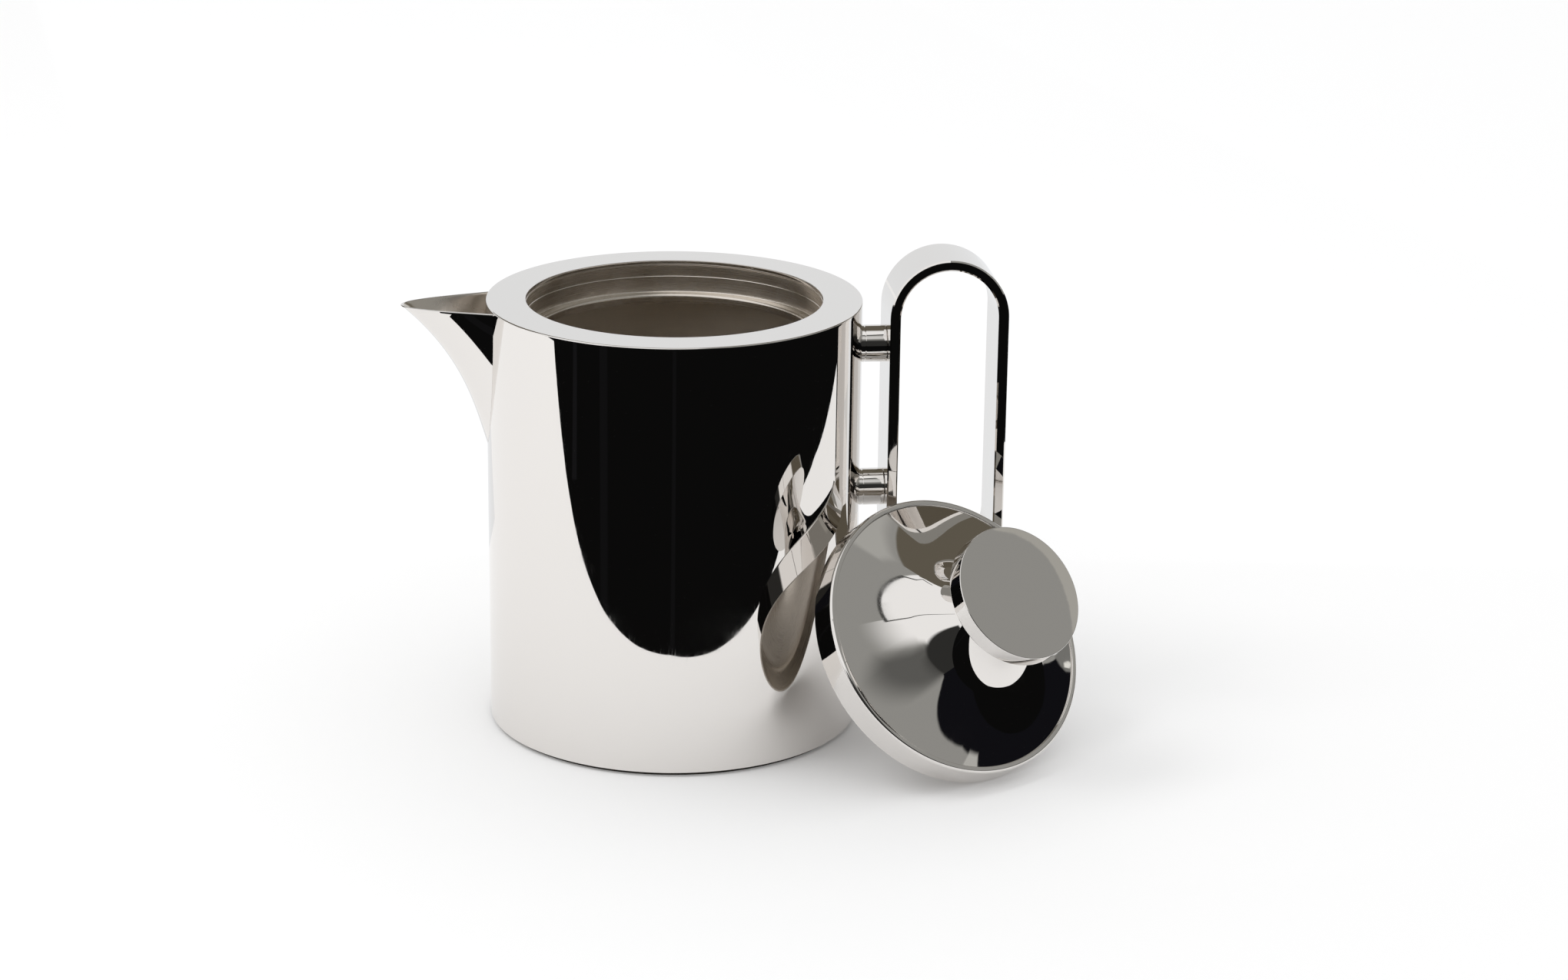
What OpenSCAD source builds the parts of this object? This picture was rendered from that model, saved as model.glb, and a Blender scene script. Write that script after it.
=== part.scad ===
// Stainless teapot: a drawn cylinder with a flat top ring, a folded beak spout, a strap loop
// handle on two posts, and a flared lid with a disc knob that leans against the pot.
// Millimetres. The origin is the centre of the base, +Z is up and +X points to the handle.

/* [Pot body] */
// Outer radius of the pot
body_r = 54; // [50:0.5:62]
// Height of the pot from the table to the top of the ring
body_h = 126.1; // [118:0.1:150]
// Thickness of the pot's wall
wall_t = 0.9; // [0.6:0.1:1.4]
// Thickness of the base plate
base_t = 2.2; // [1.8:0.1:3]
// How far the base plate stands out below the wall
foot_h = 1.3; // [0.4:0.1:1.5]
// How far the foot stands in from the wall
foot_inset = 1.8; // [1:0.1:4]

/* [Mouth] */
// Radius of the mouth in the top ring
mouth_r = 42.6; // [38:0.1:46]
// Thickness of the top ring
ring_t = 1.2; // [0.8:0.1:2]
// Radius of the ring's outer top edge
ring_edge = 0.4; // [0.2:0.05:0.6]
// Thickness of the mouth collar
collar_t = 0.8; // [0.6:0.1:1.2]
// Depth of the lid's seat below the top of the ring
seat_depth = 9.6; // [8:0.1:14]
// Width of the ledge that carries the lid
ledge_w = 3; // [2.4:0.1:4]
// Height of the ledge's turned down lip
ledge_lip = 2.6; // [2.2:0.1:4]

/* [Spout] */
// Distance from the pot's axis to the tip of the spout
spout_reach = 78.2; // [72:0.2:88]
// Drop from the top of the ring to the spout's rim
spout_drop = 0.7; // [0.3:0.1:2]
// Height of the spout from its foot on the wall to its rim
spout_h = 41.8; // [34:0.2:56]
// Half width of the spout where it meets the wall
spout_half_w = 13; // [11:0.1:16]
// Fullness of the spout's nose, as a part of the half width
spout_nose = 0.43; // [0.3:0.01:0.6]
// Thickness of the spout's sheet
spout_t = 0.9; // [0.7:0.1:1.2]

/* [Strainer] */
// Diameter of each strainer hole in the wall
strain_d = 3; // [2:0.1:3.4]
// Distance between neighbouring strainer holes
strain_pitch = 4.6; // [4.2:0.1:6]
// Rows of strainer holes
strain_rows = 5; // [3:1:6]

/* [Handle] */
// Thickness of the handle's flat bar
strap_t = 3; // [2:0.1:4]
// Width of the handle's flat bar
strap_w = 21; // [16:0.5:26]
// Outer width of the handle's loop
loop_w = 34.4; // [32:0.2:44]
// Rise of the loop's top above the pot
loop_rise = 12.1; // [6:0.1:20]
// Bevel on the edges of the bar
strap_bevel = 0.4; // [0.2:0.05:0.7]
// Length of each post between the wall and the handle
post_len = 7.2; // [5:0.1:12]
// Diameter of each post
post_d = 10.8; // [8:0.1:14]
// Distance between the two posts
post_pitch = 43.5; // [38:0.5:50]
// Drop from the top of the ring to the upper post's axis
post_drop = 14.7; // [13:0.1:22]
// Depth and width of the ring groove at the post's foot
post_groove = 0.35; // [0.2:0.05:0.6]
// Distance from the wall to that groove
groove_out = 0.8; // [0.4:0.1:2]

/* [Lid] */
// Radial gap between the lid's skirt and the mouth
lid_gap = 1.1; // [0.5:0.1:2.2]
// Height of the lid's skirt
skirt_h = 8.8; // [7:0.1:12]
// Thickness of the lid's sheet
lid_t = 0.8; // [0.6:0.1:1.2]
// Width of the rolled rim around the lid
rim_w = 1.8; // [1.4:0.1:3]
// Drop from the top of the rolled rim to the start of the flare
rim_step = 0.4; // [0.2:0.05:0.8]
// Slope of the lid's sheet where it leaves the rim
rim_slope = 20.4; // [16:0.2:26]
// Slope of the lid's sheet where the neck's curve begins
mid_slope = 28.2; // [27:0.2:36]
// Radius of the neck's curve
neck_curve = 21.8; // [16:0.2:28]
// Radius of the lid's neck where it meets the knob
neck_r = 9; // [8:0.1:13]

/* [Knob] */
// Diameter of the knob's disc
knob_d = 39.4; // [32:0.1:44]
// Thickness of the knob's disc
knob_t = 5.4; // [4.6:0.1:8]
// Bevel on the knob's edges
knob_bevel = 0.25; // [0.1:0.05:0.6]
// Diameter of the screw that holds the knob
screw_d = 4; // [3:0.1:5]
// Diameter of the screw's head
screw_head_d = 7; // [6:0.1:8.5]
// Height of the screw's head
screw_head_h = 2.4; // [2:0.1:3.4]
// Diameter of the washer under the neck
washer_d = 11; // [9.5:0.1:14]
// Thickness of the washer
washer_t = 0.8; // [0.5:0.1:1.2]

/* [Leaning lid] */
// Angle of the lid's axis above the table
lean = 37.5; // [25:0.1:50]
// Direction that the lid faces, from the handle
lid_facing = -57.9; // [-75:0.1:-50]
// Gap between the lid's open edge and the pot's wall
lid_stand_off = 1.4; // [0.3:0.1:3]

/* [Fits] */
// Gap between loose pieces that lean on each other
rest_gap = 0.3; // [0.2:0.05:0.4]
// Gap between round pieces that are welded or fitted together
fit_gap = 0.05; // [0.03:0.01:0.1]
// Clearance of the screw in its holes
screw_gap = 0.2; // [0.1:0.05:0.4]

/* [Hidden] */
$fn = 96;
eps = 0.01;
steel = "silver";
satin = "darkgray";

inner_r = body_r - wall_t;
ring_z = body_h - ring_t;
seat_z = body_h - seat_depth;
ledge_r = mouth_r - ledge_w;
post_top_z = body_h - post_drop;
post_low_z = post_top_z - post_pitch;

// Handle loop: the lower bend is as far below the posts as the upper bend is above them
bar_x = body_r + post_len;
bend_r = loop_w / 2;
bend_top_z = body_h + loop_rise - bend_r;
bend_low_z = post_top_z + post_low_z - bend_top_z;
loop_x = bar_x + bend_r;

// Lid, in its own frame: its open edge is at z = 0 and its axis is +Z. A wide curve rises from
// the rim and passes at meet_x into the neck's curve, which ends upright under the knob.
lid_r = mouth_r - lid_gap;
flare_x = lid_r - rim_w;
meet_x = neck_r + neck_curve * (1 - sin(mid_slope));
wide_curve = (flare_x - meet_x) / (sin(mid_slope) - sin(rim_slope));
wide_x = flare_x + wide_curve * sin(rim_slope);
wide_z = skirt_h - rim_step + wide_curve * cos(rim_slope);
flare_z = wide_z - (wide_curve - neck_curve) * cos(mid_slope);
neck_z = flare_z - fit_gap;
knob_r = knob_d / 2;
washer_z = neck_z - lid_t - washer_t;

// Knob's screw: sheet left above its hole, room below its end, and its six-sided drive
knob_skin = 1.6;
screw_room = 0.4;
hole_depth = knob_t - knob_skin;
screw_len = washer_t + lid_t + hole_depth - screw_room;
drive_r = screw_d * 0.45;
drive_depth = screw_head_h * 0.6;

// ---- Shared shapes ----

// What a round corner leaves outside its arc, for a corner at the origin filling -x and -y
module corner_waste(r) {
  translate([-r, -r])
    difference() {
      square(r + eps);
      circle(r);
    }
}

// A disc whose two edges are bevelled
module bevelled_disc(r, t, bevel) {
  rotate_extrude()
    polygon([[0, 0], [r - bevel, 0], [r, bevel], [r, t - bevel], [r - bevel, t], [0, t]]);
}

// ---- Pot ----

// Share of the way up the spout's foot curve at a height, and the curve's half width there
spout_rim_z = body_h - spout_drop;
spout_foot = spout_rim_z - spout_h;
function foot_share(z, foot) = max(0, min(1, (z - foot) / (spout_rim_z - foot)));
function foot_half(z, foot, half) = half * sqrt(1 - pow(1 - foot_share(z, foot), 2));

// Rows of holes that stay inside the spout's foot curve, with a margin of sheet around them
strain_margin = spout_t + strain_d;
strain_start = 0.32;
strain_low = spout_foot + spout_h * strain_start;
function strain_z(row) = strain_low + row * strain_pitch * sin(60);
function strain_side(row) =
  floor((foot_half(strain_z(row), spout_foot, spout_half_w) - strain_margin) / strain_pitch);

module strainer_holes() {
  for (row = [0 : strain_rows - 1]) {
    shift = (row % 2) / 2;
    side = max(0, strain_side(row));
    for (i = [-side : side - (row % 2)]) {
      turn = 180 + (i + shift) * strain_pitch / body_r * 180 / PI;
      rotate([0, 0, turn])
        translate([inner_r - wall_t, 0, strain_z(row)])
          rotate([0, 90, 0])
            cylinder(d = strain_d, h = 3 * wall_t, $fn = 32);
    }
  }
}

module body_wall() {
  color(steel)
    difference() {
      rotate_extrude($fn = 200)
        translate([inner_r, foot_h])
          square([wall_t, ring_z - foot_h]);
      strainer_holes();
    }
}

module base_plate() {
  color(steel)
    union() {
      cylinder(r = body_r - foot_inset, h = foot_h + eps, $fn = 200);
      translate([0, 0, foot_h])
        cylinder(r = inner_r - fit_gap, h = base_t - foot_h, $fn = 200);
    }
}

module top_ring() {
  color(steel)
    rotate_extrude($fn = 200)
      difference() {
        translate([mouth_r, ring_z])
          square([body_r - mouth_r, ring_t]);
        translate([body_r, body_h])
          corner_waste(ring_edge);
      }
}

// Collar wall, ledge and turned down lip, drawn as one ring
module mouth_collar() {
  lip_r = min(collar_t, ledge_w - collar_t);
  color(satin)
    rotate_extrude($fn = 200)
      difference() {
        union() {
          translate([mouth_r, seat_z - collar_t])
            square([collar_t, ring_z - seat_z + collar_t]);
          translate([ledge_r, seat_z - collar_t])
            square([ledge_w + eps, collar_t]);
          translate([ledge_r, seat_z - ledge_lip])
            square([collar_t, ledge_lip]);
        }
        translate([ledge_r, seat_z])
          mirror([1, 0])
            corner_waste(lip_r);
      }
}

// ---- Spout ----
// Horizontal slices, each a rounded V from the wall to the keel and back, stacked along the keel

slices = 26;
half_steps = 16;
slice_first = 0.35;
slice_power = 1.15;

// Pull points of the keel's curve near its foot and near its throat, and its slope at the foot
keel_out = 3.5;
keel_up = 11;
throat_out = 6.5;
throat_down = 15.3;
foot_lean = 0.33;

// Fullness of a slice's cheek, as a part of its half width
cheek = 0.7;

function bezier(p, t) =
  pow(1 - t, 3) * p[0] + 3 * pow(1 - t, 2) * t * p[1] + 3 * (1 - t) * t * t * p[2] + pow(t, 3) * p[3];

// Keel as reach and height, moved inwards by the sheet's thickness for the inner face
function keel(inset) = [
  [body_r, spout_foot + inset / foot_lean],
  [body_r + keel_out - inset, spout_foot + keel_up + inset],
  [body_r + throat_out - inset, spout_rim_z - throat_down + inset],
  [spout_reach - inset, spout_rim_z]
];

// One slice: points from the near wall round the nose to the far wall
function slice_half(reach, half, z) =
  let (wall_x = sqrt(body_r * body_r - half * half) + eps)
  let (p = [
    [wall_x, half],
    [(wall_x + reach) / 2, half * cheek],
    [reach, half * spout_nose],
    [reach, 0]
  ])
  [for (k = [0 : half_steps]) let (q = bezier(p, k / half_steps)) [-q[0], q[1], z]];

function slice(inset, t) =
  let (spine = bezier(keel(inset), t))
  let (foot = spout_foot + inset / foot_lean)
  let (half = foot_half(spine[1], foot, spout_half_w - inset))
  let (side = slice_half(max(spine[0], body_r + 2 * eps), half, spine[1]))
  concat(side, [for (k = [half_steps - 1 : -1 : 0]) [side[k][0], -side[k][1], side[k][2]]]);

// The slices stand closer together near the spout's foot
function slice_t(i) = pow((i + slice_first) / (slices + slice_first), slice_power);

module spout() {
  row = 2 * half_steps + 1;
  last = row - 1;
  shell = slices + 1;
  points = [
    for (inset = [0, spout_t])
      for (i = [0 : slices])
        for (p = slice(inset, slice_t(i)))
          p
  ];
  function at(face, i, k) = (face * shell + i) * row + k;
  outside = [for (i = [0 : slices - 1]) for (k = [0 : last - 1])
    each [[at(0, i, k), at(0, i, k + 1), at(0, i + 1, k + 1)],
          [at(0, i, k), at(0, i + 1, k + 1), at(0, i + 1, k)]]];
  inside = [for (i = [0 : slices - 1]) for (k = [0 : last - 1])
    each [[at(1, i, k + 1), at(1, i, k), at(1, i + 1, k + 1)],
          [at(1, i + 1, k + 1), at(1, i, k), at(1, i + 1, k)]]];
  rim = [for (k = [0 : last - 1])
    each [[at(0, slices, k), at(0, slices, k + 1), at(1, slices, k + 1)],
          [at(0, slices, k), at(1, slices, k + 1), at(1, slices, k)]]];
  near_edge = [for (i = [0 : slices - 1])
    each [[at(0, i + 1, 0), at(1, i + 1, 0), at(0, i, 0)],
          [at(1, i + 1, 0), at(1, i, 0), at(0, i, 0)]]];
  far_edge = [for (i = [0 : slices - 1])
    each [[at(1, i + 1, last), at(0, i + 1, last), at(0, i, last)],
          [at(1, i, last), at(1, i + 1, last), at(0, i, last)]]];
  foot_edge = [[at(0, 0, 0), at(1, 0, 0), at(1, 0, last)], [at(0, 0, 0), at(1, 0, last), at(0, 0, last)]];
  outer_cap = [for (k = [1 : last - 1]) [at(0, 0, 0), at(0, 0, k + 1), at(0, 0, k)]];
  inner_cap = [for (k = [1 : last - 1]) [at(1, 0, 0), at(1, 0, k), at(1, 0, k + 1)]];
  color(steel)
    polyhedron(
      points = points,
      faces = concat(outside, inside, rim, near_edge, far_edge, foot_edge, outer_cap, inner_cap),
      convexity = 6
    );
}

// ---- Handle ----

// Bevelled cross-section of the bar, with its outer face at x = bend_r
module strap_section() {
  b = strap_bevel;
  inner = bend_r - strap_t;
  half = strap_w / 2;
  polygon([
    [inner, -half + b], [inner + b, -half], [bend_r - b, -half], [bend_r, -half + b],
    [bend_r, half - b], [bend_r - b, half], [inner + b, half], [inner, half - b]
  ]);
}

// Half a turn of the bar, around an axis across the loop
module bend() {
  rotate([90, 0, 0])
    rotate_extrude(angle = 180, $fn = 160)
      strap_section();
}

module handle_band() {
  color(steel)
    union() {
      translate([loop_x, 0, bend_top_z])
        bend();
      translate([loop_x, 0, bend_low_z])
        mirror([0, 0, 1])
          bend();
      for (side = [0, 1])
        translate([loop_x, 0, bend_low_z])
          mirror([side, 0, 0])
            linear_extrude(bend_top_z - bend_low_z)
              strap_section();
    }
}

// A post whose foot is cut to the pot's wall, with a fine ring groove above the joint
module post(z) {
  color(steel)
    difference() {
      translate([body_r - post_d / 4, 0, z])
        rotate([0, 90, 0])
          cylinder(d = post_d, h = post_len + post_d / 4, $fn = 96);
      cylinder(r = body_r + eps, h = body_h, $fn = 200);
      translate([body_r + groove_out, 0, z])
        rotate([0, 90, 0])
          difference() {
            cylinder(d = post_d + 2, h = post_groove, $fn = 96);
            cylinder(d = post_d - 2 * post_groove, h = post_groove, $fn = 96);
          }
    }
}

module upper_post() {
  post(post_top_z);
}

module lower_post() {
  post(post_low_z);
}

// ---- Where the lid leans ----
// Its open edge rests on the table and on the near edge of the handle, and stands a little off
// the pot's wall. In plan that edge is an ellipse: one half axis lies along the table, the other
// one towards the lid's facing.

along = [-sin(lid_facing), cos(lid_facing)] * lid_r;
towards = [cos(lid_facing), sin(lid_facing)] * lid_r * sin(lean);

// Centre of the open edge in plan when it is nearest to the wall at a bearing from the handle
function lean_centre(bearing) =
  let (m = [cos(bearing), sin(bearing)])
  let (a = along * m)
  let (b = towards * m)
  (body_r + lid_stand_off) * m + (along * a + towards * b) / sqrt(a * a + b * b);

// How far the open edge reaches past the handle's near face, seen along the handle
function lean_over(bearing) =
  lean_centre(bearing)[1] + sqrt(along[1] * along[1] + towards[1] * towards[1])
  + strap_w / 2 + rest_gap;

function lean_bearing(low, high, steps) =
  steps == 0 ? low :
  let (mid = (low + high) / 2)
  lean_over(mid) > 0 ? lean_bearing(low, mid, steps - 1) : lean_bearing(mid, high, steps - 1);

lid_bearing = lean_bearing(-88, -10, 30);
lid_at = lean_centre(lid_bearing);
lid_lift = lid_r * cos(lean) + rest_gap;

module leaning() {
  translate([lid_at[0], lid_at[1], lid_lift])
    rotate([0, 90 - lean, lid_facing])
      children();
}

// ---- Lid ----

// Space over the lid's sheet, reaching down through the sheet by a depth
module flare_space(depth) {
  translate([neck_r + neck_curve, flare_z])
    circle(neck_curve + depth, $fn = 200);
  intersection() {
    translate([wide_x, wide_z])
      circle(wide_curve + depth, $fn = 720);
    translate([meet_x - depth * sin(mid_slope), 0])
      square([flare_x, flare_z]);
  }
}

// The rim is rolled at its outer edge; the sheet flares from it up to the neck under the knob
module lid_cover() {
  rim_r = rim_w / 2;
  color(steel)
    leaning()
      difference() {
        rotate_extrude($fn = 200)
          difference() {
            union() {
              difference() {
                square([flare_x + eps, neck_z]);
                flare_space(0);
              }
              translate([flare_x, 0])
                square([rim_w, skirt_h - rim_r]);
              translate([lid_r - rim_r, skirt_h - rim_r])
                circle(rim_r, $fn = 48);
            }
            difference() {
              translate([0, -eps])
                square([flare_x + eps, neck_z - lid_t + eps]);
              flare_space(lid_t);
            }
            translate([flare_x, -eps])
              square([rim_w - lid_t, skirt_h - rim_step - lid_t + eps]);
          }
        translate([0, 0, neck_z - 2 * lid_t])
          cylinder(d = screw_d + 2 * screw_gap, h = 3 * lid_t, $fn = 48);
      }
}

module knob_disc() {
  color(steel)
    leaning()
      translate([0, 0, neck_z])
        difference() {
          bevelled_disc(knob_r, knob_t, knob_bevel, $fn = 200);
          translate([0, 0, -eps])
            cylinder(d = screw_d + 2 * fit_gap, h = hole_depth + eps, $fn = 48);
        }
}

module knob_washer() {
  color(satin)
    leaning()
      translate([0, 0, washer_z])
        difference() {
          cylinder(d = washer_d, h = washer_t, $fn = 64);
          translate([0, 0, -eps])
            cylinder(d = screw_d + 2 * screw_gap, h = washer_t + 2 * eps, $fn = 48);
        }
}

module knob_screw() {
  color(satin)
    leaning()
      translate([0, 0, washer_z])
        union() {
          cylinder(d = screw_d, h = screw_len, $fn = 48);
          translate([0, 0, -screw_head_h])
            difference() {
              cylinder(d = screw_head_d, h = screw_head_h, $fn = 64);
              translate([0, 0, -eps])
                cylinder(r = drive_r, h = drive_depth + eps, $fn = 6);
            }
        }
}

body_wall();
base_plate();
top_ring();
mouth_collar();
spout();
handle_band();
upper_post();
lower_post();
lid_cover();
knob_disc();
knob_washer();
knob_screw();
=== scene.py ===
"""Dresses the steel teapot: smooth mirror-polished pieces over the CAD frame, studio and camera.

Sizes are in millimetres in the shape code and turned to metres where a mesh is made.
"""
import math

import bpy
import bmesh
from mathutils import Matrix, Vector


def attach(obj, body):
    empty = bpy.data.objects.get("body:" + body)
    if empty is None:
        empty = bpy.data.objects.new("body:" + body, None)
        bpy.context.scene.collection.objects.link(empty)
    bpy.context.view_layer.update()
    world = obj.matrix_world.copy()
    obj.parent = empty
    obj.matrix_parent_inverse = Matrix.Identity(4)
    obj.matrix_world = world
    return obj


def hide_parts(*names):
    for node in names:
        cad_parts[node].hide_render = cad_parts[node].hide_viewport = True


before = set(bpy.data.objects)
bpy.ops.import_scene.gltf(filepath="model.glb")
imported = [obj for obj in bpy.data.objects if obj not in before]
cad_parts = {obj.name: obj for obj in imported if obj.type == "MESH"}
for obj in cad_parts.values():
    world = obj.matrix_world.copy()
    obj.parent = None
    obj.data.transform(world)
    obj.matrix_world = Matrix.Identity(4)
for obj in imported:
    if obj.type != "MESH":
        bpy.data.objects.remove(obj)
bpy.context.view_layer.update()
MM = 0.001

# ---- Sizes, as in the CAD ----
# A trim makes a round piece a hair smaller, so that its fine facets stay in the box of the CAD's
BODY_FULL_R, BODY_TRIM = 54.0, 0.005
BODY_R = BODY_FULL_R - BODY_TRIM
BODY_H, WALL_T, FOOT_H = 126.1, 0.9, 1.3
MOUTH_R, RING_T, RING_EDGE = 42.6, 1.2, 0.4
RING_Z = BODY_H - RING_T
COLLAR_R, COLLAR_T = 42.6, 0.8
SEAT_Z, LEDGE_R, LEDGE_LIP = 116.5, 39.6, 2.6
FIT_GAP, REST_GAP = 0.05, 0.3

# Spout: its reach from the pot's axis, the height of its rim, and the curve of its keel
SPOUT_REACH, SPOUT_RIM, SPOUT_H = 78.2, 125.4, 41.8
SPOUT_FOOT = SPOUT_RIM - SPOUT_H
SPOUT_HALF, SPOUT_NOSE, SPOUT_T = 13.0, 0.43, 0.9
KEEL_OUT, KEEL_UP, THROAT_OUT, THROAT_DOWN, FOOT_LEAN, CHEEK = 3.5, 11.0, 6.5, 15.3, 0.33, 0.7
STRAIN_D, STRAIN_PITCH, STRAIN_ROWS, STRAIN_START = 3.0, 4.6, 5, 0.32

# Handle: a bar bent round two half circles, on two posts
STRAP_T, STRAP_W, STRAP_BEVEL = 3.0, 21.0, 0.4
BEND_TRIM = 0.011
BEND_R = 17.2 - BEND_TRIM
LOOP_X, BEND_TOP, BEND_LOW = 78.4, 121.0, 58.3
POST_D, POST_LEN, POST_TOP, POST_LOW = 10.8, 7.2, 111.4, 67.9
POST_GROOVE, GROOVE_OUT = 0.35, 0.8

# Lid: a skirt, a rolled rim and a flare of two arcs up to the neck; the slopes are in degrees
LID_FULL_R, LID_TRIM = 41.5, 0.07
LID_R = LID_FULL_R - LID_TRIM
SKIRT_H, LID_T, RIM_W, RIM_STEP = 8.8, 0.8, 1.8, 0.4
FLARE_X, RIM_SLOPE, MID_SLOPE, NECK_CURVE, NECK_R = 39.7, 20.4, 28.2, 21.8, 9.0
KNOB_TRIM = 0.09
KNOB_R = 19.7 - KNOB_TRIM
KNOB_T, KNOB_BEVEL = 5.4, 0.25
LID_LEAN, LID_FACING, LID_STAND_OFF = 37.5, -57.9, 1.4

# How finely round shapes are cut
BODY_SEGMENTS, LID_SEGMENTS, POST_SEGMENTS, PEG_SEGMENTS = 512, 384, 144, 40
BEND_STEPS, SLICES, SLICE_STEPS = 96, 72, 48
# An extra line this far beyond a rounding keeps the flat beside it flat
HOLD = 0.05


# ---- Mesh helpers ----
def link(name, mesh, body, slot, *materials):
    """A piece that rides on a body, with its materials; the slot is not used."""
    obj = bpy.data.objects.new(name, mesh)
    bpy.context.scene.collection.objects.link(obj)
    for material in materials:
        obj.data.materials.append(material)
    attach(obj, body)
    return obj


def arc(cx, cy, r, a0, a1, steps):
    """Points on an arc, angles in degrees."""
    turn = [math.radians(a0 + (a1 - a0) * i / steps) for i in range(steps + 1)]
    return [(cx + r * math.cos(a), cy + r * math.sin(a)) for a in turn]


def bezier(points, t):
    """A point on a cubic curve."""
    a, b, c, d = points
    k = ((1 - t) ** 3, 3 * (1 - t) ** 2 * t, 3 * (1 - t) * t * t, t ** 3)
    return tuple(k[0] * a[i] + k[1] * b[i] + k[2] * c[i] + k[3] * d[i] for i in range(2))


def finish_mesh(mesh, sharp_deg):
    """Welds doubled corners, turns faces outwards, shades smooth and marks the sharp edges."""
    bm = bmesh.new()
    bm.from_mesh(mesh)
    bmesh.ops.remove_doubles(bm, verts=bm.verts, dist=1e-7)
    bmesh.ops.recalc_face_normals(bm, faces=bm.faces)
    limit = math.radians(sharp_deg)
    for edge in bm.edges:
        edge.smooth = len(edge.link_faces) != 2 or edge.calc_face_angle(0) < limit
    for face in bm.faces:
        face.smooth = True
    bm.to_mesh(mesh)
    bm.free()
    mesh.update()


def lathe(name, profile, segments, second_from=None):
    """Turns a closed profile of (radius, height) points in mm round Z; edges over 25 degrees stay
    sharp.

    UV: u runs round the axis and v is the length along the profile, in metres. Spans of the profile
    from second_from on take the second material.
    """
    count = len(profile)
    verts = []
    for i in range(segments):
        a = 2 * math.pi * i / segments
        for r, z in profile:
            verts.append((r * math.cos(a) * MM, r * math.sin(a) * MM, z * MM))
    run = [0.0]
    for p, q in zip(profile, profile[1:] + profile[:1]):
        run.append(run[-1] + math.dist(p, q) * MM)
    faces, uvs, slots = [], [], []
    for i in range(segments):
        for k in range(count):
            j, m = (i + 1) % segments, (k + 1) % count
            slots.append(0 if second_from is None or k < second_from else 1)
            faces.append((i * count + k, j * count + k, j * count + m, i * count + m))
            u0, u1 = i / segments, (i + 1) / segments
            uvs += [(u0, run[k]), (u1, run[k]), (u1, run[k + 1]), (u0, run[k + 1])]
    mesh = bpy.data.meshes.new(name)
    mesh.from_pydata(verts, [], faces)
    mesh.polygons.foreach_set("material_index", slots)
    layer = mesh.uv_layers.new(name="turned")
    for loop, uv in zip(layer.data, uvs):
        loop.uv = uv
    finish_mesh(mesh, 25)
    return mesh


# ---- Materials ----
POLISHED = (0.79, 0.765, 0.74)
SATIN_TONE = (0.80, 0.745, 0.68)
INSIDE_TONE = (0.86, 0.79, 0.70)
LID_INSIDE_TONE = (0.58, 0.53, 0.47)
# Painted shade: the dark of the contact shadow in the foot joint, under the wall's lower edge
FOOT_SHADE = (0.05, 0.045, 0.04)

# Stretch of the coordinates: even, drawn out along Z, and as lines round the turned axis
EVEN, DRAWN, TURNED = (1, 1, 1), (260, 260, 22), (3, 9000, 1)
LINE_DEPTH = 1.2e-5
# Heights times this fill the ramp of the painted shade on the foot, which fades over the width given
FOOT_STRETCH, FOOT_SHADE_FADE = 100, 0.01


def new_material(name, colour, roughness, metallic=1.0):
    """A Principled material; returns it with its node tree and shader."""
    mat = bpy.data.materials.new(name)
    mat.use_nodes = True
    tree = mat.node_tree
    shader = tree.nodes["Principled BSDF"]
    shader.inputs["Base Color"].default_value = (*colour, 1)
    shader.inputs["Metallic"].default_value = metallic
    shader.inputs["Roughness"].default_value = roughness
    return mat, tree, shader


def coords(tree, source, scale):
    """Object or UV coordinates, scaled."""
    where = tree.nodes.new("ShaderNodeTexCoord")
    mapping = tree.nodes.new("ShaderNodeMapping")
    mapping.inputs["Scale"].default_value = scale
    tree.links.new(where.outputs[source], mapping.inputs["Vector"])
    return mapping.outputs["Vector"]


def noise(tree, source, scale, size, detail, rough):
    """Noise over scaled coordinates; size is in features per metre of the scaled space."""
    made = tree.nodes.new("ShaderNodeTexNoise")
    made.inputs["Scale"].default_value = size
    made.inputs["Detail"].default_value = detail
    made.inputs["Roughness"].default_value = rough
    tree.links.new(coords(tree, source, scale), made.inputs["Vector"])
    return made.outputs["Fac"]


def ramp(tree, value, stops):
    """A colour ramp with (position, colour or grey) stops."""
    made = tree.nodes.new("ShaderNodeValToRGB")
    bands = made.color_ramp.elements
    while len(bands) < len(stops):
        bands.new(0.5)
    for band, (place, tint) in zip(bands, stops):
        band.position = place
        band.color = (*tint, 1) if isinstance(tint, tuple) else (tint, tint, tint, 1)
    tree.links.new(value, made.inputs["Fac"])
    return made.outputs["Color"]


def math_node(tree, kind, a, b):
    """A math node over two sockets or numbers."""
    made = tree.nodes.new("ShaderNodeMath")
    made.operation = kind
    for value, socket in zip((a, b), made.inputs):
        if isinstance(value, (int, float)):
            socket.default_value = value
        else:
            tree.links.new(value, socket)
    return made.outputs["Value"]


def bump(tree, shader, height, distance):
    """A bump on the shader, from a height socket and a distance in metres."""
    made = tree.nodes.new("ShaderNodeBump")
    made.inputs["Strength"].default_value = 1.0
    made.inputs["Distance"].default_value = distance
    tree.links.new(height, made.inputs["Height"])
    tree.links.new(made.outputs["Normal"], shader.inputs["Normal"])


def polished_steel(name, wear, wave):
    """Mirror polish: faint waves of the height given, hairlines and a few dull smudges, by the wear."""
    base_rough = 0.2 * wear
    mat, tree, shader = new_material(name, POLISHED, base_rough)
    smudges = noise(tree, "Object", EVEN, size=34, detail=5, rough=0.62)
    hairs = noise(tree, "Object", DRAWN, size=9, detail=2, rough=0.5)
    smudge = ramp(tree, smudges, [(0.52, 0.0), (0.78, wear)])
    hair = ramp(tree, hairs, [(0.55, 0.0), (0.75, 0.5 * wear)])
    total = math_node(tree, "ADD", math_node(tree, "ADD", smudge, hair), base_rough)
    tree.links.new(total, shader.inputs["Roughness"])
    bump(tree, shader, noise(tree, "Object", EVEN, size=70, detail=2, rough=0.5), wave)
    return mat


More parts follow.
